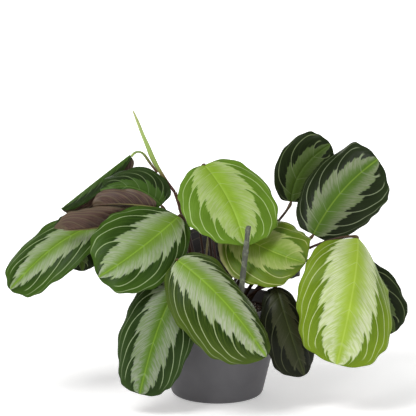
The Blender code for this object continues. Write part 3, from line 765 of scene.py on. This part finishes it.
# For each look: midrib line, zone beside the midrib, silver band, skin outside it, skin by the margin, side
# veins, how far the midrib zone and the silver band reach as shares of the half width, the back's light and
# dark, how far apart the side veins stand along the margin, and how much the base has bleached.
Look = namedtuple("Look", "line zone band outer rim veins zone_reach band_reach back_light back_dark apart"
                          " bleach",
                  defaults=("60463a", "33221c", 25.0, 0.0))
LOOKS = {
    "young": Look("a9ca52", "8bad31", "abbd7d", "57791e", "688a2a", "b9ce8c", 0.42, 0.55, "93704f", "5e3f30"),
    "golden": Look("a3bf4c", "76962a", "a9b670", "46671a", "6b8122", "c0c680", 0.6, 0.55, "93704f", "5e3f30",
                   bleach=0.85),
    "lime": Look("b3cb58", "9ab53a", "ccd5ac", "5c7817", "78911f", "c3cf93", 0.38, 0.54, "93704f", "5e3f30"),
    "green": Look("8bb03c", "6a8a2c", "9aa688", "22370c", "3d5a18", "a3b782", 0.4, 0.48),
    "olive": Look("8fb33c", "71922c", "acb49a", "22370b", "4c601c", "aab886", 0.3, 0.44),
    "silver": Look("7b9c34", "557620", "87917a", "1b2d0b", "30461a", "9aab80", 0.3, 0.5),
    "deep": Look("5f7d38", "3c581d", "3d5922", "1b290c", "2c4214", "7c8e62", 0.6, 0.4, apart=13.0),
    # the frosted look's near-black back colours are painted shade
    "frosted": Look("7c9838", "4c6a22", "7b8466", "151f07", "212e0f", "8c9876", 0.36, 0.42, "1d1611",
                    "0b0806"),
    # the dark look's greens are darker for leaves that stand in shade, partly their own colour and partly
    # painted shade; its near-black back colours are painted shade
    "dark": Look("546c2a", "3c5216", "55643c", "121a05", "1d2a0a", "75825a", 0.45, 0.4, "1d1611", "0b0806"),
    # this look is an ordinary leaf darkened all over as painted shade, its face and its near-black back alike
    "painted_shade_dull": Look("434c2a", "2a3016", "383a28", "10140a", "1c200d", "4c503a", 0.4, 0.42, "1d1611", "0b0806"),
}


def facing_direction(facing):
    """A unit vector from degrees to the right of the front and degrees above level."""
    turn, rise = (math.radians(a) for a in facing)
    return np.array([math.sin(turn) * math.cos(rise), -math.cos(turn) * math.cos(rise), math.sin(rise)])


def midrib(leaf):
    """The midrib as one smooth curve through its middle: its points, the length so far, and its tangents."""
    base, middle, tip = (np.array(p, float) for p in (leaf.base, leaf.middle, leaf.tip))
    handle = 2 * middle - (base + tip) / 2
    t = np.linspace(0, 1, 61)[:, None]
    points = (1 - t) ** 2 * base + 2 * t * (1 - t) * handle + t ** 2 * tip
    tangents = (1 - t) * (handle - base) + t * (tip - handle)
    tangents /= np.linalg.norm(tangents, axis=1, keepdims=True)
    so_far = np.concatenate([[0], np.cumsum(np.linalg.norm(np.diff(points, axis=0), axis=1))])
    return points, so_far, tangents


def blade_points(leaf, way_round, across):
    """Points of the blade, and the way its face looks there.

    way_round runs 0 to 1 along the margin from the stalk to the tip, and across runs from -1 at the left
    margin over 0 at the midrib to 1 at the right margin. Side veins follow lines of one way_round.
    """
    points, so_far, tangents = midrib(leaf)
    length = so_far[-1]
    angle = np.pi * way_round
    blunt = leaf.blunt[0] + (leaf.blunt[1] - leaf.blunt[0]) * way_round
    widest = (leaf.width / 2) * (1 - leaf.skew * np.cos(angle)) / (1 + leaf.skew ** 2 / 2)
    margin_out = widest * np.clip(np.sin(angle), 0, 1) ** blunt
    margin_along = length * (1 - np.cos(angle)) / 2
    margin_along = margin_along - HEART * length * np.exp(-((way_round - 0.12) / 0.06) ** 2)
    rib_along = length * way_round ** VEIN_CROWDING
    share = np.abs(across)
    along = rib_along + (margin_along - rib_along) * (0.8 * share + 0.2 * share ** 3)
    left = across < 0
    out = margin_out * share * np.where(left, *leaf.halves)

    on_rib = np.clip(along, 0, length)
    origin = np.stack([np.interp(on_rib, so_far, points[:, k]) for k in range(3)], axis=1)
    tangent = np.stack([np.interp(on_rib, so_far, tangents[:, k]) for k in range(3)], axis=1)
    tangent /= np.linalg.norm(tangent, axis=1, keepdims=True)
    right = np.cross(tangent, facing_direction(leaf.facing))
    right /= np.linalg.norm(right, axis=1, keepdims=True)
    face = np.cross(right, tangent)

    side = np.where(left, -1.0, 1.0)
    fold_tip = leaf.fold_tip or leaf.fold
    at_base, at_tip, curl = (np.where(left, *pair) for pair in (leaf.fold, fold_tip, leaf.curl))
    fold = at_base + (at_tip - at_base) * on_rib / length
    half_width = leaf.width / 2 * np.where(left, *leaf.halves)

    def bend(distance):
        return np.radians(fold + curl * (distance / half_width))

    sideways = lift = 0.0
    for i in range(BEND_STEPS):
        turn = bend(out * (i + 0.5) / BEND_STEPS)
        sideways = sideways + np.cos(turn) * out / BEND_STEPS
        lift = lift + np.sin(turn) * out / BEND_STEPS
    place = origin + tangent * (along - on_rib)[:, None]
    place += right * (side * sideways)[:, None] + face * np.asarray(lift)[:, None]
    normal = face * np.cos(bend(out))[:, None] - right * (side * np.sin(bend(out)))[:, None]
    normal = np.where((share < 1e-6)[:, None], face, normal)
    return place, normal, out


def opened(leaf):
    """How far a leaf folded back on itself still lies open along its midrib: 1 where it is flat."""
    return min(math.cos(math.radians(min(angle, 0))) for angle in leaf.fold)


def beside_vein(tree, number, spacing):
    """Millimetres to the nearest side vein, from the number of veins passed and the spacing there."""
    away = number
    for operation, by in (("FRACT", 0.0), ("SUBTRACT", 0.5), ("ABSOLUTE", 0.0), ("MULTIPLY", spacing)):
        away = add_node(tree, "ShaderNodeMath", {0: away, 1: by}, operation=operation).outputs[0]
    return away


def laid_over(tree, ground, layers):
    """A ground colour with others laid over it in turn, each as strongly as the product of its fades.

    A fade is a measure, the two values that it runs between, and the strength at each of them.
    """
    skin = linear(ground)
    for colour, fades in layers:
        strength = 1.0
        for measure, low, high, at_low, at_high in fades:
            fade = add_node(tree, "ShaderNodeMapRange", {"Value": measure, "From Min": low, "From Max": high,
                                                         "To Min": at_low, "To Max": at_high},
                            interpolation_type="SMOOTHSTEP")
            strength = add_node(tree, "ShaderNodeMath", {0: fade.outputs["Result"], 1: strength},
                                operation="MULTIPLY").outputs[0]
        over = linear(colour) if isinstance(colour, str) else colour
        skin = add_node(tree, "ShaderNodeMix", {0: strength, 6: skin, 7: over}, data_type="RGBA").outputs[2]
    return skin


def leaf_skin(name, look):
    """A living leaf's face: satin, its colours laid along the side veins as the feathered band has them.

    Map "veins" holds the number of side veins passed, and the share across. Map "size" holds the
    millimetres between side veins there, and from the midrib. Map "reach" holds how far on towards the tip.
    """
    material, tree, shader = new_material(name, 0.36, 1.43)
    shader.inputs["Specular IOR Level"].default_value = LEAF_GLOSS
    where = add_node(tree, "ShaderNodeTexCoord").outputs["Object"]
    veins = add_node(tree, "ShaderNodeUVMap", uv_map="veins").outputs["UV"]
    sizes = add_node(tree, "ShaderNodeUVMap", uv_map="size").outputs["UV"]
    reaches = add_node(tree, "ShaderNodeUVMap", uv_map="reach").outputs["UV"]
    number, across = add_node(tree, "ShaderNodeSeparateXYZ", {0: veins}).outputs[:2]
    spacing, from_rib = add_node(tree, "ShaderNodeSeparateXYZ", {0: sizes}).outputs[:2]
    onward = add_node(tree, "ShaderNodeSeparateXYZ", {0: reaches}).outputs["X"]
    share = add_node(tree, "ShaderNodeMath", {0: across}, operation="ABSOLUTE").outputs[0]
    off_vein = beside_vein(tree, number, spacing)

    # fine feathering: streaks that run with the side veins, about 1.2 mm wide, a little coarser than the
    # real ones so that they show
    drawn = add_node(tree, "ShaderNodeMapping", {"Vector": veins, "Scale": (STREAKS, 3.0, 1.0)}).outputs[0]
    streaks = add_node(tree, "ShaderNodeTexNoise", {"Vector": drawn, "Scale": 1.0, "Detail": 2.0},
                       noise_dimensions="2D").outputs["Fac"]
    clouds = add_node(tree, "ShaderNodeTexNoise", {"Vector": where, "Scale": 55.0,
                                                   "Detail": 2.0}).outputs["Fac"]

    # how far the band reaches: it runs out along each side vein, draws back just past it, widens towards
    # the tip, and is broken up by the streaks and by clouds
    past_vein = add_node(tree, "ShaderNodeMath", {0: number, 1: 0.5}, operation="SUBTRACT").outputs[0]
    past_vein = add_node(tree, "ShaderNodeMath", {0: past_vein}, operation="FRACT").outputs[0]
    flare = add_node(tree, "ShaderNodeMapRange", {"Value": onward, "From Min": 0.35, "From Max": 0.85},
                     interpolation_type="SMOOTHSTEP").outputs["Result"]
    reach = look.band_reach - (BAND_TEETH + BAND_STREAKED + BAND_CLOUDED) / 2
    for measure, depth in ((past_vein, BAND_TEETH), (flare, BAND_FLARE), (streaks, BAND_STREAKED),
                           (clouds, BAND_CLOUDED)):
        reach = add_node(tree, "ShaderNodeMath", {0: measure, 1: depth, 2: reach},
                         operation="MULTIPLY_ADD").outputs[0]
    inside_band = add_node(tree, "ShaderNodeMath", {0: reach, 1: share}, operation="SUBTRACT").outputs[0]
    feathered = add_node(tree, "ShaderNodeMath", {0: streaks, 1: ZONE_STREAKED, 2: share},
                         operation="MULTIPLY_ADD").outputs[0]

    silver = laid_over(tree, look.band, [
        (look.zone, [(streaks, 0.4, 0.6, 0.0, 1.0), (share, 0.1, look.band_reach, 0.85, 0.45)]),
        (look.zone, [(feathered, 0.02 + ZONE_STREAKED / 2, look.zone_reach + ZONE_STREAKED / 2, 1.0, 0.0)]),
    ])
    bleached = laid_over(tree, "c5c98a", [("8d8a4c", [(clouds, 0.52, 0.6, 0.0, 0.5)])])
    # the side veins are under 1 mm wide, faint inside the band, and fade out where they crowd together
    skin = laid_over(tree, look.outer, [
        (look.rim, [(share, 0.5, 1.05, 0.0, 1.0)]),
        (look.rim, [(streaks, 0.42, 0.64, 0.0, 0.5)]),
        (silver, [(inside_band, -0.012, 0.03, 0.0, 1.0)]),
        (bleached, [(number, 0.5, 1.3, look.bleach, 0.0)]),
        (look.veins, [(off_vein, *VEIN_HALF_WIDTH, 1.0, 0.0), (spacing, 2.0, 6.5, 0.0, 1.0),
                      (inside_band, -0.02, 0.06, 0.9, 0.35)]),
        (look.line, [(from_rib, *LINE_HALF_WIDTH, 0.6, 0.0)]),
    ])
    uneven = add_node(tree, "ShaderNodeMapRange", {"Value": clouds, "From Min": 0.3, "From Max": 0.7,
                                                   "To Min": 0.9, "To Max": 1.06})
    skin = add_node(tree, "ShaderNodeMix", {0: 1.0, 6: skin, 7: uneven.outputs["Result"]}, data_type="RGBA",
                    blend_type="MULTIPLY")
    tree.links.new(skin.outputs[2], shader.inputs["Base Color"])
    rough = add_node(tree, "ShaderNodeMapRange", {"Value": streaks, "From Min": 0.3, "From Max": 0.7,
                                                  "To Min": 0.32, "To Max": 0.44},
                     interpolation_type="SMOOTHSTEP")
    tree.links.new(rough.outputs["Result"], shader.inputs["Roughness"])
    bump = add_node(tree, "ShaderNodeBump", {"Height": streaks, "Strength": 0.7, "Distance": 0.3 * MM})
    tree.links.new(bump.outputs["Normal"], shader.inputs["Normal"])
    return material


def leaf_back(name, look):
    """A leaf's back: duller and downy, purple-brown, with raised paler side veins."""
    material, tree, shader = new_material(name, 0.5, 1.43)
    where = add_node(tree, "ShaderNodeTexCoord").outputs["Object"]
    veins = add_node(tree, "ShaderNodeUVMap", uv_map="veins").outputs["UV"]
    sizes = add_node(tree, "ShaderNodeUVMap", uv_map="size").outputs["UV"]
    number = add_node(tree, "ShaderNodeSeparateXYZ", {0: veins}).outputs["X"]
    spacing = add_node(tree, "ShaderNodeSeparateXYZ", {0: sizes}).outputs["X"]
    drawn = add_node(tree, "ShaderNodeMapping", {"Vector": veins, "Scale": (9.0, 3.0, 1.0)}).outputs[0]
    streaks = add_node(tree, "ShaderNodeTexNoise", {"Vector": drawn, "Scale": 1.0, "Detail": 2.0},
                       noise_dimensions="2D").outputs["Fac"]
    clouds = add_node(tree, "ShaderNodeTexNoise", {"Vector": where, "Scale": 40.0,
                                                   "Detail": 3.0}).outputs["Fac"]
    mottle = add_node(tree, "ShaderNodeMath", {0: streaks, 1: clouds}, operation="ADD").outputs[0]
    toned = add_node(tree, "ShaderNodeMapRange", {"Value": mottle, "From Min": 0.7, "From Max": 1.3})
    skin = add_node(tree, "ShaderNodeMix", {0: toned.outputs["Result"], 6: linear(look.back_dark),
                                            7: linear(look.back_light)}, data_type="RGBA").outputs[2]
    vein = add_node(tree, "ShaderNodeMapRange", {"Value": beside_vein(tree, number, spacing),
                                                 "From Min": 0.2, "From Max": 0.9,
                                                 "To Min": 0.3, "To Max": 0.0}).outputs["Result"]
    skin = add_node(tree, "ShaderNodeMix", {0: vein, 6: skin, 7: linear("7c7050")},
                    data_type="RGBA").outputs[2]
    tree.links.new(skin, shader.inputs["Base Color"])
    bump = add_node(tree, "ShaderNodeBump", {"Height": vein, "Strength": 0.5, "Distance": 0.4 * MM})
    tree.links.new(bump.outputs["Normal"], shader.inputs["Normal"])
    return material


def blade(leaf, phase, face_skin, back_skin):
    """The blade as a thin closed shell, with its face's skin in slot 0 and its back's in slot 1."""
    length = midrib(leaf)[1][-1]
    count = max(4.0, round(length * math.pi / 2 / LOOKS[leaf.look].apart))
    small = min(1.0, leaf.width / RELIEF_WIDTH)

    def shares(along, sideways):
        return along, np.sign(sideways - 0.5) * np.abs(2 * sideways - 1) ** 1.15

    def vein_number(way_round, across):
        return count * (way_round - VEIN_SWEEP * np.abs(across) ** VEIN_SWEEP_LATE)

    def spacing(way_round, across):
        """Millimetres between side veins, measured square to them."""
        step = 1e-3
        low, high = np.clip(way_round - step, 0, 1), np.clip(way_round + step, 0, 1)
        near, far = np.clip(across - step, -1, 1), np.clip(across + step, -1, 1)
        forward = blade_points(leaf, high, across)[0] - blade_points(leaf, low, across)[0]
        outward = blade_points(leaf, way_round, far)[0] - blade_points(leaf, way_round, near)[0]
        forward /= (high - low)[:, None]
        outward /= (far - near)[:, None]
        swept = VEIN_SWEEP * VEIN_SWEEP_LATE * across * np.abs(across) ** (VEIN_SWEEP_LATE - 2)
        square = (outward + forward * swept[:, None]) * count
        area = np.linalg.norm(np.cross(forward, outward), axis=1)
        return area / np.maximum(np.linalg.norm(square, axis=1), 1e-9)

    def place(along, sideways):
        way_round, across = shares(along, sideways)
        share = np.abs(across)
        ragged = np.sin(2 * np.pi * RAGS[0] * way_round + 2 * phase + np.sign(across))
        ragged = ragged + 0.8 * np.sin(2 * np.pi * RAGS[1] * way_round + 5 * phase + 3 * np.sign(across))
        wider = across * (1 + MARGIN_RAGGED * ragged * share ** 3)
        point, normal, out = blade_points(leaf, way_round, wider)
        tip_way = np.array(leaf.tip, float) - np.array(leaf.middle, float)
        tip_way /= np.linalg.norm(tip_way)
        point = point + tip_way * (TIP_REACH * small * np.exp(-((1 - way_round) / 0.04) ** 2))[:, None]
        apart = spacing(way_round, across)
        between = np.abs(np.sin(np.pi * (vein_number(way_round, across) - 0.5)))
        dome = DOME * small * np.clip(apart / DOME_APART, 0, 1) * between ** 0.7 * np.clip(share / 0.2, 0, 1)
        dome = dome * np.clip((1 - share) / 0.06, 0, 1)
        wave = np.sin(2 * np.pi * WAVES[0] * way_round + phase + 1.7 * np.sign(across))
        wave = wave + 0.6 * np.sin(2 * np.pi * WAVES[1] * way_round + 2.1 * phase)
        ends = np.clip(np.sin(np.pi * way_round) / 0.3, 0, 1)
        lift = dome - RIB_GROOVE * small * opened(leaf) * np.exp(-(out / GROOVE_REACH) ** 2) * ends
        lift = lift + MARGIN_WAVE * small * wave * share ** 4 * ends
        return point + normal * lift[:, None]

    def maps(along, sideways):
        way_round, across = shares(along, sideways)
        out = blade_points(leaf, way_round, across)[2]
        apart = spacing(way_round, across) * np.clip((0.97 - way_round) / 0.1, 0, 1)
        return {
            "veins": np.stack([vein_number(way_round, across), across], axis=1),
            "size": np.stack([apart, out], axis=1),
            "reach": np.stack([vein_number(way_round, across) / count, np.zeros_like(across)], axis=1),
        }

    piece = wrapped(LEAF_ROWS, LEAF_COLUMNS, place, maps)
    face_up = sum((p.normal for p in piece.data.polygons), Vector())
    if face_up.dot(Vector(blade_points(leaf, np.array([0.5]), np.array([0.0]))[1][0])) < 0:
        piece.data.flip_normals()
    piece.data.materials.append(face_skin)
    piece.data.materials.append(back_skin)
    shell = piece.modifiers.new("thickness", "SOLIDIFY")
    shell.thickness = LEAF_THICKNESS * MM
    shell.offset = 0
    shell.material_offset = 1
    bpy.ops.object.modifier_apply(modifier=shell.name)
    return piece


def petiole_run(leaf):
    """The stalk's line from the mix up and over into line with the midrib, and its radii."""
    foot = np.array([*leaf.foot, MIX_TOP - STALK_ROOTED])
    base = np.array(leaf.base, float)
    entry = midrib(leaf)[2][0]
    end = base + 0.3 * entry
    distance = np.linalg.norm(end - foot)
    lean = STALK_LEAN * (end - foot) * [1, 1, 0]
    handles = (foot, foot + lean + [0, 0, 0.5 * distance], end - leaf.entry * entry, end)
    t = np.linspace(0, 1, 121)[:, None]
    run = sum(times * (1 - t) ** (3 - k) * t ** k * handle
              for k, (times, handle) in enumerate(zip((1, 3, 3, 1), handles)))
    so_far = np.concatenate([[0], np.cumsum(np.linalg.norm(np.diff(run, axis=0), axis=1))])
    length = so_far[-1]
    swelling = np.clip(2 * (1 - (length - so_far) / STALK_JOINT_LENGTH), 0, 1)
    swelling = swelling * swelling * (3 - 2 * swelling)
    thinning = np.clip(1.6 * so_far / length, 0, 1)
    radii = STALK_FOOT_RADIUS - (STALK_FOOT_RADIUS - STALK_RADIUS) * thinning
    radii = radii + (STALK_JOINT_RADIUS - STALK_RADIUS) * swelling
    radii = radii * (0.55 + 0.45 * np.clip((length - so_far) / STALK_END_LENGTH, 0, 1))
    return run, radii


def under_rib(leaf):
    """The midrib's raised keel on the blade's back, tapering to nothing before the tip."""
    points, so_far, tangents = midrib(leaf)
    keep = so_far <= so_far[-1] * KEEL_END
    points, tangents, share = points[keep], tangents[keep], (so_far / so_far[-1])[keep]
    small = min(1.0, leaf.width / KEEL_WIDTH) * opened(leaf)
    radii = small * (KEEL_RADIUS * (1 - share) ** 0.8 + 0.25)
    right = np.cross(tangents, facing_direction(leaf.facing))
    right /= np.linalg.norm(right, axis=1, keepdims=True)
    face = np.cross(right, tangents)
    return points - face * (radii * 0.9 + RIB_GROOVE * small + 0.1)[:, None], radii


skins = {kind: leaf_skin(kind + " leaf face", look) for kind, look in LOOKS.items()}
backs = {kind: leaf_back(kind + " leaf back", look) for kind, look in LOOKS.items()}
rib_skin = fleshy_skin("leaf midrib", "8f8f4e", "7f7048", "7a5246", 0.42)
leaf_slots = {"young": "young_leaf", "golden": "young_leaf", "lime": "young_leaf", "green": "green_leaf",
              "olive": "green_leaf", "silver": "green_leaf", "deep": "dark_leaf", "dark": "dark_leaf",
              "frosted": "dark_leaf", "painted_shade_dull": "dark_leaf"}
for number, (name, leaf) in enumerate(LEAVES.items()):
    keel = stem_tube(*under_rib(leaf), sides=8, rows=40)
    keel.data.materials.append(rib_skin)
    made = blade(leaf, 1.9 * number, skins[leaf.look], backs[leaf.look])
    keel.select_set(True)
    made.select_set(True)
    bpy.context.view_layer.objects.active = made
    bpy.ops.object.join()
    finish_piece(made, "blade_" + name, leaf_slots[leaf.look], "leaf_" + name)
    if leaf.foot:
        petiole = stem_tube(*petiole_run(leaf), sides=12, rows=90)
        petiole.data.materials.append(petiole_skin)
        finish_piece(petiole, "petiole_" + name, "leaf_stalk", "stalk_" + name)
